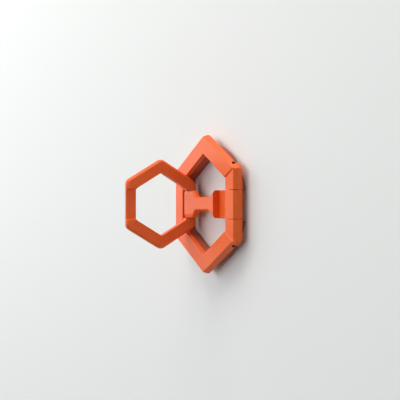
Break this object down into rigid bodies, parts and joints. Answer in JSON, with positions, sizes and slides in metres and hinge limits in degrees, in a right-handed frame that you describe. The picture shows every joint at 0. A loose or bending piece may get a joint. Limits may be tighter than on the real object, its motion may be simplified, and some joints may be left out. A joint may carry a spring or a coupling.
{
  "type": "magnetic phone ring stand",
  "caption": "Hexagonal magnetic ring stand: a flat frame on a round magnet base, a lifting hinged arm and a folding finger ring that props up a phone.",
  "frame": {"origin": "centre of the face that meets the phone, in the middle of the round magnet base", "axes": "+Z away from the phone, +X towards the arm's hinge, +Y along both hinge axes"},
  "size_m": [0.0566, 0.065, 0.0392],
  "materials": {
    "orange_metal": "matte",
    "carrier_plastic": "matte",
    "soft_pad": "matte",
    "film": "matte",
    "steel": "satin",
    "magnet": "satin",
    "spring_brass": "satin",
    "dark_polymer": "matte"
  },
  "bodies": {
    "base": {"hex_frame": "orange_metal", "base_plate": "carrier_plastic", "base_pad": "soft_pad", "pad_adhesive": "film", "steel_yoke": "steel", "magnet_segments": "magnet", "frame_screws": "steel", "arm_hinge_pin": "steel"},
    "arm": {"arm_link": "orange_metal", "arm_hinge_sleeve": "spring_brass", "arm_hinge_washers": "dark_polymer", "ring_hinge_sleeve": "spring_brass", "ring_hinge_washers": "dark_polymer"},
    "ring": {"finger_ring": "orange_metal", "ring_hinge_pin": "steel"}
  },
  "joints": [
    {"name": "arm_hinge", "type": "hinge", "parent": "base", "child": "arm", "pos_m": [0.024, 0, 0.0047], "axis": [0, 1, 0], "range_deg": [0, 120]},
    {"name": "ring_hinge", "type": "hinge", "parent": "arm", "child": "ring", "pos_m": [-0.0163, 0, 0.0047], "axis": [0, 1, 0], "range_deg": [-15, 90]}
  ]
}
